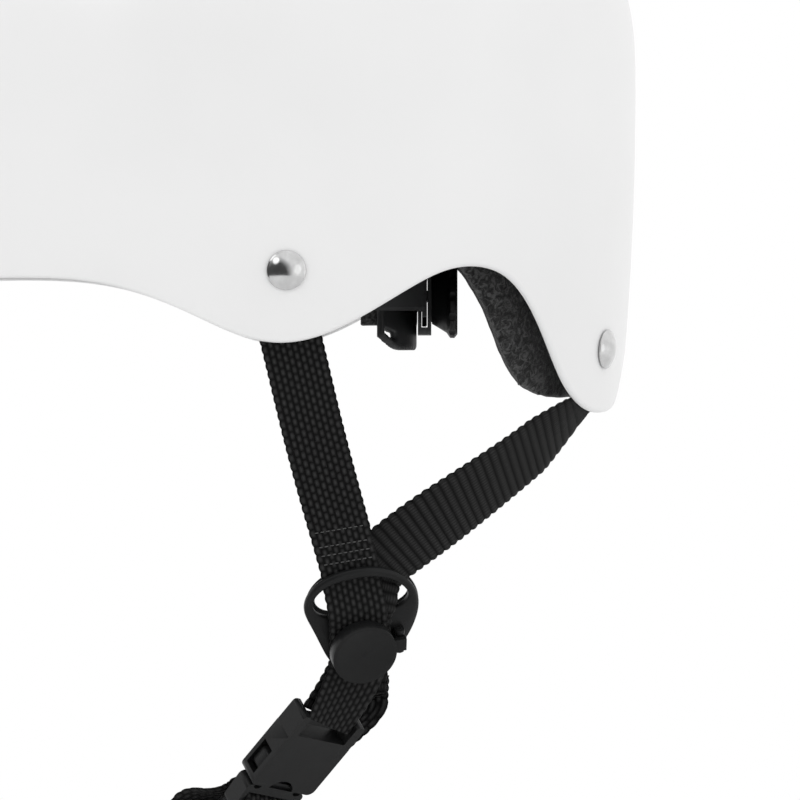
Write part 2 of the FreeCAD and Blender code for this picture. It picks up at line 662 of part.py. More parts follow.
def anchor_pin():
    """Push pin that holds the arm's front end to the liner."""
    head = cylinder(4.0, 1.2, PIN_PLACE, X_AXIS * -1)
    return head.fuse(cylinder(PIN_R, 6.5, PIN_PLACE, X_AXIS))


def pin_hole():
    return cylinder(PIN_R + 0.1, 12, PIN_PLACE, X_AXIS)


def main():
    os.makedirs("parts", exist_ok=True)
    rivets = [EAR_RIVET_YZ, REAR_RIVET_YZ]
    holes = [rivet_hole(place) for place in rivets]
    buckle_runs = [run_to_buckle(front_strap(), 2.6).cut(holes[0]),
                   run_to_buckle(rear_strap(), -2.6).cut(holes[1])]
    seam_runs = [run_to_seam(front_strap(), 3.5).cut(holes[0]),
                 run_to_seam(rear_strap(), 1.8).cut(holes[1])]
    shell = layer(0, SHELL_T).common(above(SHELL_EDGE)).cut(nape_arch())
    for hole in holes:
        shell = shell.cut(hole).cut(mirrored(hole))
    save("outer_shell", shell)

    liner = layer(LINER_OUT, LINER_IN).common(above(LINER_EDGE)).cut(nape_arch(LINER_LIFT_AT_NAPE))
    channel_front = box((96, -1, -30), (120, 32, 20))
    rear_seat = rivet_seat(REAR_RIVET_YZ, STRAP_SEAT_INSET)[0]
    channel_rear = frame_at(box((-12, -40, -5.4), (12, 14, 10)), rear_seat, Vector(-0.927, 0.375, 0),
                            Vector(0.375, 0.927, 0))
    front_y = LINER_FRONT_Y - LINER_SPLIT
    rear_y = LINER_REAR_Y + LINER_SPLIT
    save("liner_front", liner.common(box((-FAR, -FAR, -FAR), (FAR, front_y, LINER_TOP_Z))))
    left = liner.common(box((10, LINER_FRONT_Y, -FAR), (FAR, LINER_REAR_Y, LINER_TOP_Z)))
    left = left.cut(channel_front).cut(pin_hole())
    rear_left = liner.common(box((LINER_SPLIT / 2, rear_y, -FAR), (FAR, FAR, LINER_TOP_Z))).cut(channel_rear)
    save("liner_left", left)
    save("liner_right", mirrored(left))
    save("liner_rear_left", rear_left)
    save("liner_rear_right", mirrored(rear_left))
    crown_box = box((-FAR, -FAR, LINER_TOP_Z + LINER_SPLIT), (FAR, FAR, FAR))
    save("liner_crown", layer(LINER_OUT, LINER_IN).common(crown_box))

    pad_layer = layer(PAD_OUT, PAD_IN)
    brow_box = box((-BROW_PAD_HALF, -FAR, BROW_PAD_Z[0]), (BROW_PAD_HALF, -40, BROW_PAD_Z[1]))
    save("brow_pad", pad_layer.common(brow_box))
    side_pad = pad_layer.common(box((40, SIDE_PAD_Y[0], SIDE_PAD_Z[0]), (FAR, SIDE_PAD_Y[1], SIDE_PAD_Z[1])))
    save("side_pad_left", side_pad)
    save("side_pad_right", mirrored(side_pad))
    above_split = LINER_TOP_Z + LINER_SPLIT
    bars = [box((-x, -y, above_split), (x, y, FAR)) for x, y in (CROWN_PAD_LONG, CROWN_PAD_WIDE)]
    save("crown_pad", pad_layer.common(bars[0].fuse(bars[1])))
    nape_box = box((*NAPE_PAD_LOW, -FAR), (FAR, FAR, NAPE_PAD_TOP_Z))
    nape_pad = pad_layer.common(above(NAPE_PAD_EDGE)).common(nape_box)
    save("nape_pad_left", nape_pad)
    save("nape_pad_right", mirrored(nape_pad))

    save("strap_rivets", *[shape for place in rivets for shape in (rivet(place), mirrored(rivet(place)))])
    save("rivet_washers", *[shape for place in rivets for shape in (washer(place), mirrored(washer(place)))])

    for side, turn, runs in (("left", lambda shape: shape, buckle_runs), ("right", mirrored, seam_runs)):
        save("strap_front_" + side, turn(runs[0]))
        save("strap_rear_" + side, turn(runs[1]))
        save("strap_divider_" + side, turn(divider()))
        save("clamp_cap_" + side, turn(clamp_cap()))
        save("clamp_pin_" + side, turn(clamp_pin()))
        save("headband_arm_" + side, turn(arm_left()))
        save("anchor_pin_" + side, turn(anchor_pin()))

    save("buckle_socket", socket())
    save("buckle_plug", plug())
    save("buckle_prong_outer", prong(1))
    save("buckle_prong_inner", prong(-1))
    save("chin_strap", chin_strap())
    save("chin_strap_tail", strap_tail())
    save("tail_keeper", keeper())

    save("cradle_frame", cradle_frame())
    save("cradle_pad", cradle_pad())
    save("dial_housing", housing_base())
    save("dial_cover", housing_cover())
    save("detent_spring", detent_spring())
    save("rack_left", rack_left())
    save("rack_right", rack_right())
    save("pinion", pinion())
    save("dial_shaft", dial_shaft())
    save("dial_knob", dial_knob())


main()
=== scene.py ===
# %% [markdown]
# # A water helmet built round a fixed frame
# The frame holds every CAD part where it belongs and how it moves. Here the shell, foam, pads, webbing
# and rivets get their real surfaces. A helmet like this is a thin moulded shell, a foam liner in it,
# fabric pads, riveted webbing and small moulded fittings, so each is its own piece.

# %% Load the frame
import json
import math

import bmesh
import bpy
import numpy as np
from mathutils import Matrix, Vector


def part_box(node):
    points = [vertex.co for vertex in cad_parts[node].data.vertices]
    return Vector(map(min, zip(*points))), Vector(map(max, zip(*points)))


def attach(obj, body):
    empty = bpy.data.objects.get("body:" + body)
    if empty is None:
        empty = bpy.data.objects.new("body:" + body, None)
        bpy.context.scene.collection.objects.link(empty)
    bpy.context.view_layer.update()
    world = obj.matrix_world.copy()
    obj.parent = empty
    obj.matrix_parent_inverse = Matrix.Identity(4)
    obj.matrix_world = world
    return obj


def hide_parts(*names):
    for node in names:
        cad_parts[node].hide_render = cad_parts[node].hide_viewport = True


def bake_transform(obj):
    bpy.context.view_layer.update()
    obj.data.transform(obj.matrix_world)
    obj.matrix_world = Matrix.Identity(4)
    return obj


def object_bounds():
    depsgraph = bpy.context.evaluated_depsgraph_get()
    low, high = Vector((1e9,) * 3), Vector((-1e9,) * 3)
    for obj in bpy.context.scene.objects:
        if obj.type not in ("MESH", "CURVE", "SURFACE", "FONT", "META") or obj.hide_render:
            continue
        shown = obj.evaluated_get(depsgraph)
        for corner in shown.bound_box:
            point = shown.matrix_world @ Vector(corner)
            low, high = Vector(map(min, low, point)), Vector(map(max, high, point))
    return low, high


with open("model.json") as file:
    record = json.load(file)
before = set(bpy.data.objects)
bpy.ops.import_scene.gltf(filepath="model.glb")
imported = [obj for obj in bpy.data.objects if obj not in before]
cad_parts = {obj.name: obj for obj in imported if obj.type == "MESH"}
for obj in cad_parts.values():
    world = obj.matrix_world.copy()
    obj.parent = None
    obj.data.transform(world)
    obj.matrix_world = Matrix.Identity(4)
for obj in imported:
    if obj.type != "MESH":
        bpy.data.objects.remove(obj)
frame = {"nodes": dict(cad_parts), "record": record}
cad_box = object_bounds()
print("nodes in the frame:", len(frame["nodes"]))

# %% [markdown]
# ## Finishes
# Each finish is a shader with its own grain. Values that are the same all over sit on the shader's own
# sockets. Grain comes from noise in object space, or along the strap for webbing, so it keeps its real
# scale on every piece.

# %% Finish helpers
MM = 0.001


def finish(name, roughness, metallic=0.0, specular=0.5, sheen=0.0, coat=0.0):
    """A material with its shader's constant values set; returns it with its tree and shader."""
    material = bpy.data.materials.new(name)
    material.use_nodes = True
    tree = material.node_tree
    shader = tree.nodes["Principled BSDF"]
    shader.inputs["Roughness"].default_value = roughness
    shader.inputs["Metallic"].default_value = metallic
    shader.inputs["Specular IOR Level"].default_value = specular
    shader.inputs["Sheen Weight"].default_value = sheen
    shader.inputs["Coat Weight"].default_value = coat
    return material, tree, shader


def noise(tree, scale, detail=3.0, space="Object", stretch=(1, 1, 1), distortion=0.0):
    """Noise in object or UV space; scale is in features per metre."""
    where = tree.nodes.new("ShaderNodeTexCoord")
    mapping = tree.nodes.new("ShaderNodeMapping")
    mapping.inputs["Scale"].default_value = stretch
    texture = tree.nodes.new("ShaderNodeTexNoise")
    texture.inputs["Scale"].default_value = scale
    texture.inputs["Detail"].default_value = detail
    texture.inputs["Distortion"].default_value = distortion
    tree.links.new(where.outputs[space], mapping.inputs["Vector"])
    tree.links.new(mapping.outputs["Vector"], texture.inputs["Vector"])
    return texture.outputs["Fac"]


def ramp(tree, source, stops):
    """Turns a value into colours through stops of (place, colour)."""
    node = tree.nodes.new("ShaderNodeValToRGB")
    elements = node.color_ramp.elements
    while len(elements) < len(stops):
        elements.new(0.5)
    for element, (place, colour) in zip(elements, stops):
        element.position = place
        element.color = (*colour, 1)
    tree.links.new(source, node.inputs["Fac"])
    return node.outputs["Color"]


def grey(value, tint=0.0):
    return (value, value * (1 + tint * 0.5), value * (1 + tint))


def bump(tree, shader, height, distance, strength=1.0, under=None):
    """Bumps the surface by height; distance is in metres."""
    node = tree.nodes.new("ShaderNodeBump")
    node.inputs["Distance"].default_value = distance
    node.inputs["Strength"].default_value = strength
    tree.links.new(height, node.inputs["Height"])
    if under is not None:
        tree.links.new(under, node.inputs["Normal"])
    tree.links.new(node.outputs["Normal"], shader.inputs["Normal"])
    return node.outputs["Normal"]


def roughness_from(tree, shader, source, low, high):
    """Lets a value drive the roughness between two limits."""
    spread = tree.nodes.new("ShaderNodeMapRange")
    spread.inputs["To Min"].default_value = low
    spread.inputs["To Max"].default_value = high
    tree.links.new(source, spread.inputs["Value"])
    tree.links.new(spread.outputs["Result"], shader.inputs["Roughness"])


# %% [markdown]
# The shell is injection moulded and satin-glossy: nearly white, with a faint orange peel and a slightly
# uneven gloss. The steel is polished, with fine turning marks.

# %% Hard finishes
def shell_finish():
    material, tree, shader = finish("shell_white", 0.3, specular=0.4, coat=0.1)
    shader.inputs["Coat Roughness"].default_value = 0.12
    tone = ramp(tree, noise(tree, 14, 2), [(0.3, grey(0.80)), (0.7, grey(0.83))])
    tree.links.new(tone, shader.inputs["Base Color"])
    roughness_from(tree, shader, noise(tree, 60, 4), 0.27, 0.37)
    bump(tree, shader, noise(tree, 420, 2), 0.00006, 0.35)
    return material


def plastic_finish(name, tone, roughness, grain=1800):
    material, tree, shader = finish(name, roughness, specular=0.2)
    colour = ramp(tree, noise(tree, 90, 3), [(0.3, grey(tone * 0.85, 0.06)), (0.75, grey(tone * 1.2, 0.06))])
    tree.links.new(colour, shader.inputs["Base Color"])
    roughness_from(tree, shader, noise(tree, 350, 4), roughness - 0.07, roughness + 0.08)
    bump(tree, shader, noise(tree, grain, 2), 0.00005, 0.5)
    return material


def steel_finish():
    material, tree, shader = finish("rivet_steel", 0.16, metallic=1.0)
    tone = ramp(tree, noise(tree, 300, 3), [(0.3, grey(0.56)), (0.7, grey(0.68))])
    tree.links.new(tone, shader.inputs["Base Color"])
    roughness_from(tree, shader, noise(tree, 900, 4), 0.10, 0.24)
    bump(tree, shader, noise(tree, 700, 2), 0.00002, 0.3)
    return material


# %% [markdown]
# The foam has a fine pebbled skin, the pads a brushed felt face with mottled fibres, and the webbing is
# woven nylon. The webbing's weave is real geometry. Its finish also paints shade into the gaps between
# threads, darker where the weave is lower, and adds their grain and sheen.

# %% Soft finishes
def foam_finish():
    material, tree, shader = finish("liner_foam", 0.8, specular=0.25)
    tone = ramp(tree, noise(tree, 500, 4), [(0.3, grey(0.018)), (0.7, grey(0.040))])
    tree.links.new(tone, shader.inputs["Base Color"])
    roughness_from(tree, shader, noise(tree, 200, 3), 0.7, 0.9)
    bump(tree, shader, noise(tree, 650, 3), 0.0004, 0.6)
    return material


def felt_finish():
    material, tree, shader = finish("pad_felt", 0.92, specular=0.1, sheen=0.2)
    shader.inputs["Sheen Roughness"].default_value = 0.6
    mottle = noise(tree, 420, 6, distortion=1.6)
    tone = ramp(tree, mottle, [(0.38, grey(0.006)), (0.5, grey(0.022)), (0.62, grey(0.075))])
    tree.links.new(tone, shader.inputs["Base Color"])
    fibres = noise(tree, 900, 6, distortion=2.0)
    soft = bump(tree, shader, mottle, 0.0009, 0.7)
    bump(tree, shader, fibres, 0.0004, 0.8, under=soft)
    return material


def webbing_finish():
    material, tree, shader = finish("webbing", 0.6, specular=0.12, sheen=0.05)
    shader.inputs["Sheen Roughness"].default_value = 0.4
    threads = noise(tree, 1.0, 4, space="UV", stretch=(900, 260, 1))
    # Painted shade: the ramp below colours the weave's low places, the gaps between threads, darker than the
    # raised stitches.
    weave_height = tree.nodes.new("ShaderNodeAttribute")
    weave_height.attribute_name = "weave_height"
    painted_gap_shade_stops = [(0.3, grey(0.002)), (0.7, grey(0.016)), (1.0, grey(0.036))]
    tone = ramp(tree, weave_height.outputs["Fac"], painted_gap_shade_stops)
    threads_and_painted_gap_shade = tree.nodes.new("ShaderNodeMix")
    threads_and_painted_gap_shade.data_type, threads_and_painted_gap_shade.blend_type = "RGBA", "MULTIPLY"
    threads_and_painted_gap_shade.inputs["Factor"].default_value = 1.0
    uneven = ramp(tree, threads, [(0.25, grey(0.6)), (0.75, grey(1.0))])
    tree.links.new(tone, threads_and_painted_gap_shade.inputs["A"])
    tree.links.new(uneven, threads_and_painted_gap_shade.inputs["B"])
    tree.links.new(threads_and_painted_gap_shade.outputs["Result"], shader.inputs["Base Color"])
    roughness_from(tree, shader, threads, 0.5, 0.75)
    bump(tree, shader, noise(tree, 1.0, 3, space="UV", stretch=(2400, 700, 1)), 0.00018, 0.7)
    return material


finishes = {
    "shell_white": shell_finish(),
    "rivet_steel": steel_finish(),
    "liner_foam": foam_finish(),
    "pad_felt": felt_finish(),
    "webbing": webbing_finish(),
    "black_plastic": plastic_finish("black_plastic", 0.008, 0.38),
    "cradle_plastic": plastic_finish("cradle_plastic", 0.020, 0.44),
    "keeper_rubber": plastic_finish("keeper_rubber", 0.009, 0.62, 900),
}
print("finishes:", ", ".join(finishes))

# %% [markdown]
# Each CAD node takes the finish of its slot and keeps its mesh. Most of them are replaced further on by
# pieces with truer surfaces.

# %% Give every CAD node its finish
def dress_cad_nodes():
    """Each CAD node takes its slot's finish."""
    for row in frame["record"]["subparts"]:
        node = frame["nodes"][row["node"]]
        node.data.materials.clear()
        node.data.materials.append(finishes[row["material_slot"]])


dress_cad_nodes()

# %% [markdown]
# ## The shell
# The shell is one curved sheet 3 mm thick, with a rounded lip all round. The outer and inner faces come
# from the same formula as the frame's, on a grid of columns that ends exactly on the lower edge, so the
# lip can be a true half round. A cut through a ready dome would leave a sharp, uneven lip.

# %% Shell form
shell_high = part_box("outer_shell")[1]
HALF_WIDTH = shell_high.x
HALF_LENGTH = shell_high.y
WIDEST_Z = 66 * MM
CROWN_RISE = shell_high.z - WIDEST_Z
CROWN_POWER_UP, CROWN_POWER_IN = 3.0, 2.5
LEAN_IN, LEAN_DEPTH = 5 / 134, 104 * MM
SHELL_T = 3 * MM
SHELL_EDGE = [(-140, 5), (-95, 2.5), (-40, 0), (-12, -10.3), (6, -17.6), (18, -18.8), (39, -12), (58, -1),
              (77, 6.5), (90, 4), (99.7, -6.7), (109, -28), (115, -38.5), (122, -43), (128.5, -39.5),
              (132, -31), (136, -22)]
ARCH_FOOT_Z, ARCH_RISE, ARCH_HALF, ARCH_BLEND = -44 * MM, 22 * MM, 26 * MM, 3 * MM


def smooth_run(points, per_span=12):
    """Natural cubic spline through points, by chord length, as dense points."""
    p = np.array(points, float)
    t = np.concatenate([[0], np.cumsum(np.linalg.norm(np.diff(p, axis=0), axis=1))])
    h = np.diff(t)
    n = len(p)
    a, b = np.eye(n), np.zeros_like(p)
    for i in range(1, n - 1):
        a[i, i - 1], a[i, i], a[i, i + 1] = h[i - 1], 2 * (h[i - 1] + h[i]), h[i]
        b[i] = 6 * ((p[i + 1] - p[i]) / h[i] - (p[i] - p[i - 1]) / h[i - 1])
    m = np.linalg.solve(a, b)
    out = []
    for i in range(n - 1):
        for s in np.linspace(0, 1, per_span, endpoint=i == n - 2):
            x = s * h[i]
            y = h[i] - x
            out.append((m[i] * y ** 3 + m[i + 1] * x ** 3) / (6 * h[i])
                       + (p[i] / h[i] - m[i] * h[i] / 6) * y + (p[i + 1] / h[i] - m[i + 1] * h[i] / 6) * x)
    return np.array(out)


edge_run = smooth_run([(y * MM, z * MM) for y, z in SHELL_EDGE])


def plan_share(z, inset):
    """How much of its widest plan the form keeps at height z."""
    rise = CROWN_RISE - inset
    up = np.clip((z - WIDEST_Z) / rise, 0, 1)
    below = 1 - LEAN_IN * ((WIDEST_Z - z) / LEAN_DEPTH) ** 2
    above = (1 - up ** CROWN_POWER_UP) ** (1 / CROWN_POWER_IN)
    return np.where(z > WIDEST_Z, above, below)


def form_point(theta, z, inset=0.0):
    """Point of the form at plan angle theta (0 is the wearer's left, a quarter turn is the rear)."""
    share = plan_share(z, inset)
    return np.stack([(HALF_WIDTH - inset) * share * np.cos(theta),
                     (HALF_LENGTH - inset) * share * np.sin(theta), z + 0 * theta], -1)


def edge_height(theta, inset=0.0):
    """Height of the lower edge at each plan angle."""
    z = np.zeros_like(theta)
    for _ in range(40):
        p = form_point(theta, z, inset)
        side = np.interp(p[..., 1], edge_run[:, 0], edge_run[:, 1])
        swell = 0.5 + 0.5 * np.cos(np.pi * np.clip(p[..., 0] / ARCH_HALF, -1, 1))
        arch = ARCH_FOOT_Z + ARCH_RISE * swell
        z = 0.6 * z + 0.4 * (side + arch + np.hypot(side - arch, ARCH_BLEND)) / 2
    return z


def mesh_object(name, vertices, faces, slot, smooth=True, uv=None, height=None):
    """A new piece from vertices and faces, with its finish and record slot."""
    mesh = bpy.data.meshes.new(name)
    mesh.from_pydata([tuple(v) for v in vertices], [], faces)
    mesh.validate()
    if uv is not None:
        layer = mesh.uv_layers.new(name="UVMap")
        loops = np.zeros(len(mesh.loops), int)
        mesh.loops.foreach_get("vertex_index", loops)
        layer.data.foreach_set("uv", np.asarray(uv, np.float32)[loops].ravel())
    if height is not None:
        # The weave's height at each point, which the webbing finish turns into painted shade in the gaps.
        tint = mesh.attributes.new("weave_height", "FLOAT", "POINT")
        tint.data.foreach_set("value", np.asarray(height, np.float32))
    mesh.polygons.foreach_set("use_smooth", [smooth] * len(mesh.polygons))
    piece = bpy.data.objects.new(name, mesh)
    bpy.context.scene.collection.objects.link(piece)
    mesh.materials.append(finishes[slot])
    return piece


def outward(piece):
    """Makes all faces of a closed piece look outwards."""
    b = bmesh.new()
    b.from_mesh(piece.data)
    bmesh.ops.recalc_face_normals(b, faces=b.faces)
    b.to_mesh(piece.data)
    b.free()
    return piece


def ring_faces(rows, columns):
    """Quads between closed rings of vertices, row by row."""
    faces = []
    for i in range(rows - 1):
        for j in range(columns):
            k = (j + 1) % columns
            faces.append((i * columns + j, i * columns + k, (i + 1) * columns + k, (i + 1) * columns + j))
    return faces


# %% [markdown]
# A piece that starts from a CAD node works on a copy, because the node itself never changes.

# %% Mesh tools
def copy_node(node, name, slot):
    """A new piece with the same form as a CAD node."""
    piece = bpy.data.objects.new(name, frame["nodes"][node].data.copy())
    bpy.context.scene.collection.objects.link(piece)
    piece.data.materials.clear()
    piece.data.materials.append(finishes[slot])
    return piece


def apply_all(piece):
    """Bakes a piece's modifiers into its mesh."""
    bpy.context.view_layer.update()
    depsgraph = bpy.context.evaluated_depsgraph_get()
    mesh = bpy.data.meshes.new_from_object(piece.evaluated_get(depsgraph))
    piece.modifiers.clear()
    piece.data = mesh


def relax(piece, times):
    """Evens out a piece's surface, which rounds its edges."""
    smooth = piece.modifiers.new("smooth", "SMOOTH")
    smooth.factor, smooth.iterations = 0.5, times
    apply_all(piece)


def remesh(piece, voxel):
    modifier = piece.modifiers.new("remesh", "REMESH")
    modifier.mode = "VOXEL"
    modifier.voxel_size = voxel
    apply_all(piece)
    piece.data.polygons.foreach_set("use_smooth", [True] * len(piece.data.polygons))


# %% [markdown]
# Rings of points run down the outer face, round the lip and up the inner face, and close at the crown.

# %% Shell mesh
def shell_rows(theta, inset, wall_steps=22, crown_steps=26):
    """Rings from just above the lip to just below the crown, on one face of the shell."""
    low = edge_height(theta, 0.0) + SHELL_T / 2
    rows = []
    for s in np.linspace(0, 1, wall_steps, endpoint=False):
        rows.append(form_point(theta, low + (WIDEST_Z - low) * s, inset))
    rise = CROWN_RISE - inset
    for a in np.linspace(0, math.pi / 2, crown_steps, endpoint=False):
        rows.append(form_point(theta, np.full_like(theta, WIDEST_Z + rise * math.sin(a)), inset))
    return rows


def make_shell(columns=360, lip_steps=7):
    theta = np.linspace(0, 2 * math.pi, columns, endpoint=False)
    outer, inner = shell_rows(theta, 0.0), shell_rows(theta, SHELL_T)
    out0, in0 = outer[0], inner[0]
    centre, half = (out0 + in0) / 2, (out0 - in0) / 2
    run = np.roll(centre, -1, axis=0) - np.roll(centre, 1, axis=0)
    down = np.cross(run, half)
    down *= np.where(down[:, 2:3] > 0, -1, 1)
    down *= (SHELL_T / 2) / np.linalg.norm(down, axis=1, keepdims=True)
    lip = [centre + half * math.cos(a) + down * math.sin(a)
           for a in np.linspace(0, math.pi, lip_steps + 2)[1:-1]]
    rings = outer[::-1] + lip + inner
    vertices = np.concatenate(rings)
    faces = ring_faces(len(rings), columns)
    tops = [(0, 0, WIDEST_Z + CROWN_RISE), (0, 0, WIDEST_Z + CROWN_RISE - SHELL_T)]
    vertices = np.concatenate([vertices, tops])
    first, last = len(vertices) - 2, (len(rings) - 1) * columns
    for j in range(columns):
        k = (j + 1) % columns
        faces.append((first, k, j))
        faces.append((first + 1, last + j, last + k))
    shell = outward(mesh_object("shell", vertices, faces, "shell_white"))
    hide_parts("outer_shell")
    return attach(shell, "root")


shell = make_shell()
print("shell faces:", len(shell.data.polygons))

# %% [markdown]
# ## Rivets
# A domed steel rivet with a thin flat rim holds each strap. Its outline is turned round the shell's own
# normal, so that the rim sits flush on the curved wall.

# %% Rivets
RIVET_R, RIVET_DOME, RIVET_RIM, RIVET_STANDOFF = 6.6 * MM, 2.7 * MM, 0.45 * MM, 0.2 * MM
RIVET_SHANK = [(3.2, -9.0), (3.2, -8.5), (2.0, -8.4), (2.0, 0.0)]
RIVET_PLACES = {"ear": (17.3 * MM, 5.3 * MM), "rear": (123.6 * MM, -20.7 * MM)}


def wall_seat(y, z, side, inset=0.0):
    """Point on the wall and its outward normal, on the side given as 1 or -1."""
    theta = math.asin(y / ((HALF_LENGTH - inset) * float(plan_share(np.array(z), inset))))
    theta = np.array(theta)
    p = form_point(theta, np.array(z), inset)
    step = 1e-4
    a = form_point(theta + step, np.array(z), inset) - p
    b = form_point(theta, np.array(z + step), inset) - p
    n = Vector(np.cross(a, b)).normalized()
    return Vector((p[0] * side, p[1], p[2])), Vector((n.x * side, n.y, n.z))


def lathe(name, profile, origin, axis, slot, steps=64):
    """Turns a profile of (radius, height) about an axis into a closed piece."""
    turn = axis.to_track_quat("Z", "Y").to_matrix()
    vertices = []
    for r, h in profile:
        for k in range(steps):
            a = 2 * math.pi * k / steps
            vertices.append(origin + turn @ Vector((r * math.cos(a), r * math.sin(a), h)))
    faces = ring_faces(len(profile), steps)
    faces.append(tuple(range(steps)))
    faces.append(tuple(range((len(profile) - 1) * steps, len(profile) * steps)))
    return outward(mesh_object(name, vertices, faces, slot))


def rivet_profile():
    """Shank, flat underside, small round rim and dome."""
    ball = (RIVET_R ** 2 + RIVET_DOME ** 2) / (2 * RIVET_DOME)
    profile = [(r * MM, h * MM) for r, h in RIVET_SHANK]
    rim = RIVET_RIM
    profile += [(RIVET_R - rim, 0.0), (RIVET_R - rim * 0.2, rim * 0.25), (RIVET_R, rim * 0.9),
                (RIVET_R - rim * 0.25, rim * 1.5), (RIVET_R - rim * 0.9, rim * 1.75)]
    for k in range(12):
        r = (RIVET_R - rim * 1.3) * math.cos(math.pi / 2 * k / 12)
        profile.append((r, RIVET_DOME - ball + math.sqrt(ball ** 2 - r ** 2) + rim * 0.8))
    profile.append((0.05 * MM, RIVET_DOME + rim * 0.8))
    return profile


for place, (y, z) in RIVET_PLACES.items():
    for side, word in ((1, "left"), (-1, "right")):
        seat, normal = wall_seat(y, z, side)
        foot = seat + normal * RIVET_STANDOFF
        rivet = lathe(f"rivet_{place}_{word}", rivet_profile(), foot, normal, "rivet_steel")
        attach(rivet, "root")
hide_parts("strap_rivets")

# %% [markdown]
# ## Webbing
# The straps are flat woven nylon, 20 mm wide. Each run follows the same points as its frame part, on a
# smooth curve, and turns its width from one direction to the next, so the rear strap gets its half twist.
# The weave is geometry: ten columns of long stitches that alternate, and cross ribs on the rear run.

# %% [markdown]
# The divider and the buckle each have their own directions, so points near them are given in those.

# %% Divider and buckle directions
def axes_from(x_dir, z_dir):
    z = Vector(z_dir).normalized()
    x = (Vector(x_dir) - z * Vector(x_dir).dot(z)).normalized()
    return x, z.cross(x), z


DIV_ORIGIN = Vector((74.0, 40.8, -117.5))
DIV_X, DIV_Y, DIV_Z = axes_from((-0.248, 0.959, 0.133), (0.80, 0.28, -0.53))
BUCKLE_ORIGIN = Vector((68.0, 31.0, -143.0))
BUCKLE_X, BUCKLE_Y = Vector((0.671, -0.723, 0.161)), Vector((-0.45, -0.57, -0.69))
BUCKLE_Z = BUCKLE_X.cross(BUCKLE_Y)
UNDER = Vector((0, -0.9, 0.43))


def div(x, y, z):
    """Point in the divider's frame, in millimetres."""
    return DIV_ORIGIN + DIV_X * x + DIV_Y * y + DIV_Z * z


def buc(x, y, z):
    """Point in the buckle's frame, in millimetres."""
    return BUCKLE_ORIGIN + BUCKLE_X * x + BUCKLE_Y * y + BUCKLE_Z * z


def flip(v):
    return Vector((-v.x, v.y, v.z))


# %% [markdown]
# One maker turns a route and its width directions into a woven strap.

# %% Webbing maker
WEB_W, WEB_T = 20.0, 1.5


def soft_curve(controls, step):
    """Quadratic spline near control rows, clamped at both ends, resampled evenly."""
    c = np.array(controls, float)
    n = len(c)
    out = []
    for i in range(n - 2):
        a = c[0] if i == 0 else (c[i] + c[i + 1]) / 2
        b = c[i + 1]
        e = c[-1] if i == n - 3 else (c[i + 1] + c[i + 2]) / 2
        for s in np.linspace(0, 1, 24, endpoint=i == n - 3):
            out.append(a * (1 - s) ** 2 + b * 2 * s * (1 - s) + e * s ** 2)
    out = np.array(out)
    length = np.concatenate([[0], np.cumsum(np.linalg.norm(np.diff(out[:, :3], axis=0), axis=1))])
    even = np.linspace(0, length[-1], max(8, int(length[-1] / step)))
    return np.stack([np.interp(even, length, out[:, k]) for k in range(out.shape[1])], -1), even


COLUMNS, STITCH = 10, 2.9
RIB, THREAD = 3.6, 0.9


def weave(u, v, ribbed):
    """Height from 0 to 1 of the woven face, at u across and v along in millimetres."""
    if ribbed:
        rib = np.sqrt(np.abs(np.sin(np.pi * v / RIB)))
        return rib * (0.78 + 0.22 * np.cos(2 * np.pi * u / THREAD))
    place = (u / WEB_W + 0.5) * COLUMNS
    column = np.floor(np.clip(place, 0, COLUMNS - 1e-6))
    inside = place - column - 0.5
    shifted = v / STITCH + 0.5 * (column % 2)
    dash = np.abs(np.sin(np.pi * shifted)) ** 0.5
    return np.clip(np.cos(np.pi * inside), 0, 1) ** 0.8 * dash


RELIEF = {False: 0.34, True: 0.55}


def webbing(name, points, hints, ribbed=False, step=0.36, across=61):
    """A woven strap through points (mm), each with a direction for its width."""
    rows, v = soft_curve([[*p, *h] for p, h in zip(points, hints)], step)
    centre, hint = rows[:, :3], rows[:, 3:]
    along = np.gradient(centre, axis=0)
    along /= np.linalg.norm(along, axis=1, keepdims=True)
    width = hint - along * (hint * along).sum(1, keepdims=True)
    width /= np.linalg.norm(width, axis=1, keepdims=True)
    face = np.cross(along, width)
    relief = RELIEF[ribbed]
    pitch = RIB if ribbed else STITCH
    scallop = (0.55 if ribbed else 0.36) * np.abs(np.sin(np.pi * v / pitch))
    vertices, uv, heights = [], [], []
    for side in (1, -1):
        for across_at in np.linspace(-1, 1, across) * side:
            edge = abs(across_at) ** 12
            half = WEB_W / 2 - 0.25 + scallop * abs(across_at) ** 6
            lift = weave(across_at * WEB_W / 2, v + (0 if side > 0 else pitch / 2), ribbed)
            height = (WEB_T / 2 - relief - 0.25 * edge + relief * lift * (1 - edge * 0.8)) * side
            vertices.append(centre + width * (across_at * half)[:, None] + face * height[:, None])
            uv.append(np.stack([v * 0 + across_at * WEB_W / 2 * MM, v * MM], -1))
            heights.append(lift)
    loop = 2 * across
    grid = np.stack(vertices, 1).reshape(-1, 3) * MM
    faces = ring_faces(len(v), loop)
    faces += [tuple(range(loop)), tuple(range((len(v) - 1) * loop, len(v) * loop))]
    strap = outward(mesh_object(name, grid, faces, "webbing", uv=np.stack(uv, 1).reshape(-1, 2),
                                height=np.stack(heights, 1).ravel()))
    print(f"{name}: {v[-1]:.0f} mm long")
    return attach(strap, "root")


# %% [markdown]
# The front run drops from the ear rivet and the rear run crosses from the rear rivet. Both pass through
# the divider, to the buckle on the wearer's left and to the sewn seam on the right.

# %% The runs
SIDE_TILT = Vector((0, 0.97, 0.243))
SEAM_Y = -23.0
FRONT_LOW, FRONT_AT_RING = (91.5, 27.5, -55), div(-2.5, 27.5, -2.5)


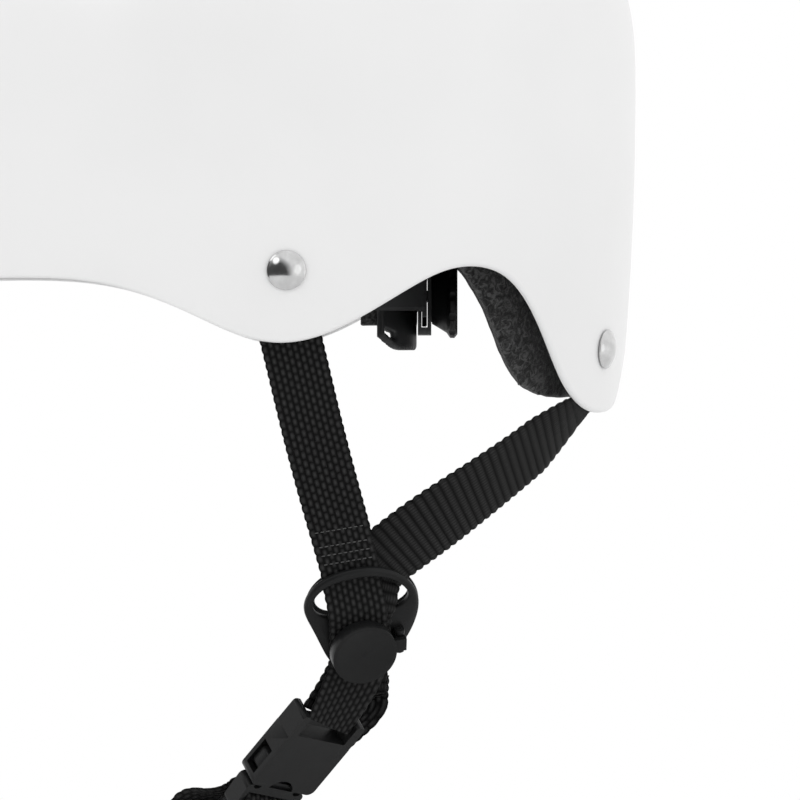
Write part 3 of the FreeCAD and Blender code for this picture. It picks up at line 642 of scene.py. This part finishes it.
def front_run():
    points = [(103.9, 10.4, 16), (103.6, 13, 5.3), (101.4, 19, -19), FRONT_LOW]
    points = [Vector(p) for p in points]
    points += [FRONT_AT_RING, div(-2.2, 23.8, -2.2), div(-1.8, 19, 0.7), div(-1.4, 15, 3.4),
               div(-1, 11, 3.95), div(-0.6, 0, 3.95), div(-0.3, -11, 3.8)]
    return points, [SIDE_TILT] * 4 + [DIV_X] * 7


def rear_run():
    y, z = RIVET_PLACES["rear"]
    seat, normal = wall_seat(y, z, 1)
    top = seat / MM - normal * 4.9
    flat = Vector((-normal.y, normal.x, 0))
    points = [top + Vector((0.1, 0.3, 9)), top, top - normal * 0.9 + Vector((0, 0, -16)),
              top + Vector((1, -8.5, -24.5)), Vector((52, 91, -61)), div(8.0, 27.5, -4.4),
              div(5.6, 22.5, -3.6), div(4.0, 18.5, -1.5), div(2.0, 14.5, 1.9), div(1.0, 11, 2.2),
              div(0.2, 0, 2.2), div(-0.2, -11, 2.1)]
    return points, [flat] * 3 + [flat + DIV_X * 0.3, DIV_X * 0.9 + flat] + [DIV_X] * 7


def strap_pair(side):
    """Front and rear runs on one side, ending at the buckle's bar or at the sewn seam."""
    for name, (points, hints), height, ribbed in (("front", front_run(), 2.6, False),
                                                  ("rear", rear_run(), -2.6, True)):
        if side == "left":
            points, hints = points + [buc(0, 1.9, height)], hints + [-BUCKLE_X]
        else:
            seam = 3.5 if name == "front" else 1.8
            points, hints = points + [div(-0.3, SEAM_Y, seam)], hints + [DIV_X]
            points, hints = [flip(p) for p in points], [flip(h) for h in hints]
        strap = webbing(f"webbing_{name}_{side}", points, hints, ribbed)
        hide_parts(f"strap_{name}_{side}")


for word in ("left", "right"):
    strap_pair(word)

# %% [markdown]
# The chin strap goes from the buckle's far slot, under the chin, to the seam. Its loose end comes back
# out of the near slot and lies inside it, under the keeper.

# %% Chin strap and its loose end
CHIN_PATH = [(39.5, -3.5, -178.5), (33.0, -9.0, -185.5), (28.0, -11.6, -188.8), (12.0, -17.8, -195.4),
             (-3, -19.3, -197.0), (-18, -16.5, -194.0), (-33, -8.5, -186.5), (-47, 4, -174.5),
             (-58, 17, -161)]
SLOTS, SLOT_L, PLUG_END, TAIL_LIFT = (35.4, 40.4), 2.6, 45.0, 2.1
BAR_Y = (SLOTS[0] + SLOTS[1]) / 2 + SLOT_L / 2


def chin():
    far = SLOTS[1] + SLOT_L / 2
    right = flip(DIV_X)
    points = [buc(0, BAR_Y, 4.4), buc(0, far, 3.8), buc(0, far + 0.1, -3.8), buc(0, PLUG_END, -4.4)]
    points += [Vector(p) for p in CHIN_PATH]
    points += [flip(div(-0.3, SEAM_Y + back, out)) for back, out in ((-4, 4.9), (0, 5.3), (9, 5.6))]
    hints = [BUCKLE_X] * 4 + [BUCKLE_X * 0.8 + UNDER * 0.2, BUCKLE_X * 0.4 + UNDER * 0.6] + [UNDER] * 4
    hints += [UNDER * 0.8 - right * 0.2, UNDER * 0.5 - right * 0.5, UNDER * 0.2 - right * 0.8] + [-right] * 3
    strap = webbing("webbing_chin", points, hints)
    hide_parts("chin_strap")


def loose_end():
    a, b = Vector(CHIN_PATH[2]), Vector(CHIN_PATH[3])
    along = (b - a).normalized()
    across = (UNDER - along * UNDER.dot(along)).normalized()
    inward = along.cross(across).normalized()
    inward *= 1 if inward.z > 0 else -1
    middle, lift = (a + b) / 2, inward * TAIL_LIFT
    near = SLOTS[0] + SLOT_L / 2
    points = [buc(0, BAR_Y, 4.4), buc(0, near, 3.6), buc(0, near, -4.6), buc(0, 38.6, -6.4), buc(0, 43, -6.9),
              Vector((42.0, -1.0, -169.8)), Vector((36.0, -9.5, -170.6)), Vector((30.5, -14.5, -177.0)),
              middle - along * 9 + lift * 1.15, middle + lift, middle + along * 12 + lift * 1.1]
    hints = [BUCKLE_X] * 5 + [BUCKLE_X * 0.9 + UNDER * 0.1, BUCKLE_X * 0.6 + UNDER * 0.4,
                              BUCKLE_X * 0.3 + UNDER * 0.7, UNDER, UNDER, UNDER]
    strap = webbing("webbing_loose_end", points, hints)
    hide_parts("chin_strap_tail")


chin()
loose_end()

# %% [markdown]
# ## Stitching
# Rows of thread lock the front run where its ply ends, above the divider, and the lapped seam on the
# wearer's right. Each stitch is its own small bead of thread along the row, because a painted line
# has no thickness and looks flat from the side.

# %% Stitches
BEAD_GAP, BEAD_LENGTH, BEAD_R = 1.9, 1.25, 0.22


def bead(centre, along, up, length, radius, sides=8):
    """Vertices and faces of one stitch, thick in the middle."""
    along, up = along.normalized(), up.normalized()
    across = along.cross(up).normalized()
    places = (-1.0, -0.7, 0.0, 0.7, 1.0)
    sizes = (0.35, 0.85, 1.0, 0.85, 0.35)
    vertices = [centre + along * (t * length / 2) + (across * math.cos(a) + up * math.sin(a)) * radius * size
                for t, size in zip(places, sizes)
                for a in (2 * math.pi * k / sides for k in range(sides))]
    faces = ring_faces(len(places), sides)
    faces += [tuple(range(sides)), tuple(range((len(places) - 1) * sides, len(places) * sides))]
    return vertices, faces


def stitch_rows(name, rows, count=9):
    """Rows of stitches; each row is (middle, direction across the strap, face normal), in mm."""
    vertices, faces = [], []
    for middle, across, up in rows:
        for k in range(count):
            place = middle + across.normalized() * ((k - (count - 1) / 2) * BEAD_GAP)
            v, f = bead(place, across, up, BEAD_LENGTH, BEAD_R)
            faces += [tuple(i + len(vertices) for i in face) for face in f]
            vertices += [point * MM for point in v]
    thread = mesh_object(name, vertices, faces, "webbing", height=np.ones(len(vertices)))
    thread.data.materials.clear()
    thread.data.materials.append(thread_finish)
    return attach(outward(thread), "root")


def make_thread_finish():
    """Twisted sewing thread, a little paler than the webbing."""
    material, tree, shader = finish("sewing_thread", 0.5, specular=0.3, sheen=0.1)
    tone = ramp(tree, noise(tree, 2500, 2), [(0.3, grey(0.03)), (0.7, grey(0.09))])
    tree.links.new(tone, shader.inputs["Base Color"])
    bump(tree, shader, noise(tree, 3000, 2), 0.00008, 0.8)
    return material


thread_finish = make_thread_finish()


def front_rows():
    """Rows across the front run, above the divider, on its outer face."""
    lower = FRONT_AT_RING
    along = (lower - Vector(FRONT_LOW)).normalized()
    up = SIDE_TILT.cross(along)
    up *= 1 if up.x > 0 else -1
    return [(lower - along * back + up.normalized() * 0.85, SIDE_TILT.lerp(DIV_X, 0.75), up)
            for back in (2.5, 5.5, 8.5, 13.5)]


thread = front_rows()
stitch_rows("stitches_left", thread)
stitch_rows("stitches_right", [tuple(flip(v) for v in row) for row in thread])
seam_face = [(flip(div(-0.3, SEAM_Y + back, 6.2)), flip(DIV_X), flip(DIV_Z))
             for back in (-2.0, 0.0, 2.0, 4.0)]
stitch_rows("stitches_seam", seam_face)

# %% [markdown]
# ## Strap dividers
# The divider is one moulding: a rounded ring that the two runs pass through, and the seat of the round
# clamp. Two smooth outlines, one outside and one inside, are read by angle about the same centre, and a
# softened section is carried round between them. A plain bevel can't give that rounded egg shape.

# %% Dividers
RING_OUTSIDE = [(-18.8, 16.5), (-14.2, 24.6), (-5, 28.2), (6, 28), (15, 23.6), (20.6, 14.5), (19.4, 4),
                (14, -5), (7, -9.4), (0, -11), (-7, -9), (-12.0, -1.5), (-16.2, 8)]
RING_INSIDE = [(-16, 17.2), (-12.6, 22.4), (-5, 24.9), (6, 24.8), (13, 21.6), (17.0, 15.0), (14.6, 12.4),
               (0, 12), (-13.4, 12.6)]
RING_CENTRE = (0, 17.0)
RING_SECTION = [(0, -0.8), (0, 0.8), (0.14, 1.25), (0.70, 1.3), (1, 0.6), (1, -0.7), (0.86, -1.3),
                (0.14, -1.3)]

KNUCKLE = [(11.9, -1.2), (15.2, -1.2), (15.4, 3.2), (14.9, 4.5), (13.6, 5.0), (12.3, 4.5), (11.8, 3.2)]
KNUCKLE_PLACES, KNUCKLE_HALF = (-3.4, 3.4), 0.9


def reach_by_angle(outline, angles):
    """Distance from the ring's centre to a smooth closed outline at each angle."""
    count = len(outline)
    looped = smooth_run([outline[i % count] for i in range(-2, count + 3)], 16)
    middle = looped[32:-32] - RING_CENTRE
    at = np.arctan2(middle[:, 1], middle[:, 0])
    order = np.argsort(at)
    return np.interp(angles, at[order], np.linalg.norm(middle, axis=1)[order], period=2 * math.pi)


def make_divider(word, turn):
    """Ring and clamp seat with the two knuckles that the cap's pin goes through."""
    steps = 96
    angles = np.linspace(-math.pi, math.pi, steps, endpoint=False)
    near, far = reach_by_angle(RING_INSIDE, angles), reach_by_angle(RING_OUTSIDE, angles)
    vertices = []
    for t, z in RING_SECTION:
        for angle, a, b in zip(angles, near, far):
            reach = a + (b - a) * t
            x, y = RING_CENTRE[0] + reach * math.cos(angle), RING_CENTRE[1] + reach * math.sin(angle)
            vertices.append(turn(div(x, y, z)) * MM)
    rings = len(RING_SECTION)
    faces = [tuple(i % (rings * steps) for i in face) for face in ring_faces(rings + 1, steps)]
    count = len(KNUCKLE)
    for middle in KNUCKLE_PLACES:
        first = len(vertices)
        for y in (middle - KNUCKLE_HALF, middle + KNUCKLE_HALF):
            vertices += [turn(div(x, y, z)) * MM for x, z in KNUCKLE]
        faces += [(first + i, first + (i + 1) % count, first + count + (i + 1) % count, first + count + i)
                  for i in range(count)]
        faces += [tuple(range(first, first + count)), tuple(range(first + count, first + 2 * count))]
    ring = outward(mesh_object(f"divider_ring_{word}", vertices, faces, "black_plastic"))
    bevel = ring.modifiers.new("edges", "BEVEL")
    bevel.width, bevel.segments, bevel.limit_method = 0.0003, 2, "ANGLE"
    apply_all(ring)
    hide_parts(f"strap_divider_{word}")
    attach(ring, "root")


make_divider("left", Vector)
make_divider("right", flip)

# %% [markdown]
# ## Cradle frame
# The cradle is a curved moulding with round corners and a loop along its lower rail. Its frame solid is
# remeshed finely, its lower corners are drawn up in a curve, and smoothing rounds the edges, so it looks
# like a moulding and still sits where the dial's plates need it.

# %% Cradle frame
def cradle():
    piece = copy_node("cradle_frame", "cradle_moulding", "cradle_plastic")
    remesh(piece, 0.75 * MM)
    low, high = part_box("cradle_frame")
    foot = low.z + 0.35 * (high.z - low.z)
    for vertex in piece.data.vertices:
        share = min(1, max(0, (abs(vertex.co.x) / high.x - 0.62) / 0.38))
        if vertex.co.z < foot:
            vertex.co.z = foot + (vertex.co.z - foot) * (1 - 0.5 * share ** 2)
    relax(piece, 4)
    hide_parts("cradle_frame")
    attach(piece, "cradle")
    print(piece.name, len(piece.data.vertices), "points")


# %% [markdown]
# ## Headband arms
# Each arm is a thin flexible band from its push pin to the rack. Here it is one fixed band along a
# smooth path.

# %% Headband arms
ARM_PATH = [(45.4, 63.1), (52, 60.5), (64, 52), (76, 39), (85.5, 24), (91, 8), (92.6, -6)]
ARM_Z, ARM_H, ARM_T = -1.5, 13.0, 1.6


def arm(side, word):
    """A smooth band with rounded long edges; it is stiff plastic, so it has no weave."""
    path = smooth_run([(x * side, y, ARM_Z) for x, y in ARM_PATH], 10)
    along = np.gradient(path, axis=0)
    along /= np.linalg.norm(along, axis=1, keepdims=True)
    face = np.cross(along, (0, 0, 1))
    loop = [(0.5, 0.5), (0.38, 0.62), (-0.38, 0.62), (-0.5, 0.5), (-0.5, -0.5), (-0.38, -0.62), (0.38, -0.62),
            (0.5, -0.5)]
    rings = [path + face * (t * ARM_T) + np.array((0, 0, 1)) * (h * ARM_H * 0.8) for t, h in loop]
    grid = np.stack(rings, 1).reshape(-1, 3) * MM
    faces = ring_faces(len(path), len(loop))
    faces += [tuple(range(len(loop))), tuple(range(len(grid) - len(loop), len(grid)))]
    band = outward(mesh_object(f"arm_{word}", grid, faces, "cradle_plastic", smooth=False))
    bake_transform(band)
    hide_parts(f"headband_arm_{word}")


arm(1, "left")
arm(-1, "right")

# %% [markdown]
# ## Foam liner
# The foam pieces are cut from moulded sheet with softened edges. Each is remeshed from its frame solid
# and smoothed, which rounds every cut edge while its faces stay in place.

# %% Foam
def shrink(piece, amount):
    """Moves every point inwards along its normal."""
    piece.data.update()
    for vertex, normal in zip(piece.data.vertices, [v.normal.copy() for v in piece.data.vertices]):
        vertex.co -= normal * amount


def foam(node):
    piece = copy_node(node, node.replace("liner", "foam"), "liner_foam")
    remesh(piece, 2.6 * MM)
    shrink(piece, 0.35 * MM)
    relax(piece, 3)
    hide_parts(node)
    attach(piece, "root")
    print(piece.name, len(piece.data.vertices), "points")


cradle()
for node in [n for n in frame["nodes"] if n.startswith("liner_")]:
    foam(node)

# %% [markdown]
# ## Pads
# The pads are felt-covered foam, swollen a little between their edges. A short cloth simulation with a
# little pressure gives them that crown, which a bevel can't.

# %% Pads
def swell(piece, frames=16, pressure=3.0, most=2.2 * MM):
    """Cloth with pressure; each point may move only so far from where it began."""
    before = np.array([v.co for v in piece.data.vertices])
    cloth = piece.modifiers.new("cloth", "CLOTH")
    cloth.settings.use_pressure = True
    cloth.settings.uniform_pressure_force = pressure
    cloth.settings.effector_weights.gravity = 0
    cloth.settings.tension_stiffness = 25
    cloth.settings.bending_stiffness = 2.0
    cloth.point_cache.frame_start, cloth.point_cache.frame_end = 1, frames
    for number in range(1, frames + 1):
        bpy.context.scene.frame_set(number)
    apply_all(piece)
    bpy.context.scene.frame_set(1)
    after = np.array([v.co for v in piece.data.vertices])
    move = after - before
    length = np.linalg.norm(move, axis=1, keepdims=True)
    move *= np.minimum(1, most / np.maximum(length, 1e-9))
    piece.data.vertices.foreach_set("co", (before + move).astype(np.float32).ravel())
    piece.data.update()


def pad(node, body):
    piece = copy_node(node, node + "_felt", "pad_felt")
    remesh(piece, 3.4 * MM)
    shrink(piece, 1.3 * MM)
    swell(piece)
    divide = piece.modifiers.new("round", "SUBSURF")
    divide.levels = divide.render_levels = 1
    apply_all(piece)
    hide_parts(node)
    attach(piece, body)
    print(piece.name, len(piece.data.vertices), "points")


for node in ("brow_pad", "crown_pad", "side_pad_left", "side_pad_right", "nape_pad_left", "nape_pad_right"):
    pad(node, "root")
pad("cradle_pad", "cradle")

# %% [markdown]
# ## Moulded fittings
# Buckle, clamps, dial and pins are moulded, and a moulding has no knife edges. Each fitting that has no
# piece of its own yet is copied, and the copy's sharp edges are rounded so that they catch the light.

# %% Softened edges
MOULDED = ("black_plastic", "cradle_plastic", "keeper_rubber")
REMADE = ("cradle_frame", "strap_divider_left", "strap_divider_right", "headband_arm_left",
          "headband_arm_right")
SHARP = math.radians(38)


def soften(node, slot, body, edge_width=0.35 * MM):
    """Stands in for a moulded node with a copy whose sharp edges are rounded."""
    piece = copy_node(node, node + "_moulded", slot)
    weld = piece.modifiers.new("weld", "WELD")
    weld.merge_threshold = 0.002 * MM
    bevel = piece.modifiers.new("edges", "BEVEL")
    bevel.width, bevel.segments, bevel.limit_method = edge_width, 2, "ANGLE"
    bevel.angle_limit = SHARP
    bevel.harden_normals = True
    apply_all(piece)
    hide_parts(node)
    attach(piece, body)


bodies = {node: body for body, nodes in frame["record"]["behaviour"]["bodies"].items() for node in nodes}
for row in frame["record"]["subparts"]:
    if row["material_slot"] in MOULDED and row["node"] not in REMADE:
        soften(row["node"], row["material_slot"], bodies[row["node"]])

# %% [markdown]
# ## Studio
# A pale floor, a white surround and three large soft lights, which only add a little to the surround. The
# camera looks square at the wearer's left side through a long lens, so that far parts hide behind near ones.

# %% Floor, lights and camera
def area_light(name, place, target, size, power):
    data = bpy.data.lights.new(name, "AREA")
    data.shape, data.size, data.energy = "DISK", size, power
    light = bpy.data.objects.new(name, data)
    light.location = place
    light.rotation_euler = (Vector(target) - Vector(place)).to_track_quat("-Z", "Y").to_euler()
    bpy.context.scene.collection.objects.link(light)


FLOOR_RADIUS, FLOOR_GAP = 0.55, 0.004
DARK_SIDE = (0.86, -0.46, -0.22)
LIGHTS_AIM = (0, 0.03, -0.03)
LIGHTS = {"key": ((1.4, -1.0, 1.1), 0.9, 3.2), "fill": ((0.9, 1.3, 0.0), 0.9, 0.7),
          "top": ((-0.3, 0.1, 1.7), 1.2, 1)}


def surround():
    """White all round, except that polished steel mirrors a dark side, ahead on the wearer's left."""
    world = bpy.data.worlds.new("surround")
    world.use_nodes = True
    tree = world.node_tree
    where = tree.nodes.new("ShaderNodeTexCoord")
    facing = tree.nodes.new("ShaderNodeVectorMath")
    facing.operation = "DOT_PRODUCT"
    facing.inputs[1].default_value = DARK_SIDE
    tree.links.new(where.outputs["Generated"], facing.inputs[0])
    shade = ramp(tree, facing.outputs["Value"], [(0.42, grey(1.0)), (0.78, grey(0.06))])
    ray = tree.nodes.new("ShaderNodeLightPath")
    seen = tree.nodes.new("ShaderNodeMix")
    seen.data_type = "RGBA"
    seen.inputs["A"].default_value = (1, 1, 1, 1)
    tree.links.new(ray.outputs["Is Glossy Ray"], seen.inputs["Factor"])
    tree.links.new(shade, seen.inputs["B"])
    tree.links.new(seen.outputs["Result"], tree.nodes["Background"].inputs["Color"])
    return world


def studio():
    place = (0, 0, cad_box[0].z - FLOOR_GAP)
    bpy.ops.mesh.primitive_circle_add(vertices=128, radius=FLOOR_RADIUS, fill_type="NGON", location=place)
    floor = bpy.context.object
    floor.name = "floor"
    material, tree, shader = finish("floor_pale", 0.7)
    tone = ramp(tree, noise(tree, 3, 2), [(0.3, grey(0.84)), (0.7, grey(0.86))])
    tree.links.new(tone, shader.inputs["Base Color"])
    floor.data.materials.append(material)
    bpy.context.scene.world = surround()
    bpy.context.scene.view_settings.view_transform = "Standard"
    for name, (place, size, power) in LIGHTS.items():
        area_light(name, place, LIGHTS_AIM, size, power)


VIEW_SCALE = 0.8 / 3.0
VIEW_CENTRE = Vector((0.05, 0.055, -0.0377))
VIEW_DISTANCE = 8.0


def camera():
    data = bpy.data.cameras.new("camera")
    data.sensor_width = 36
    data.lens = 36 * VIEW_DISTANCE / VIEW_SCALE
    data.clip_end = 100
    eye = bpy.data.objects.new("camera", data)
    eye.location = VIEW_CENTRE + Vector((VIEW_DISTANCE, 0, 0))
    eye.rotation_euler = Vector((-1, 0, 0)).to_track_quat("-Z", "Y").to_euler()
    bpy.context.scene.collection.objects.link(eye)
    bpy.context.scene.camera = eye


studio()
camera()
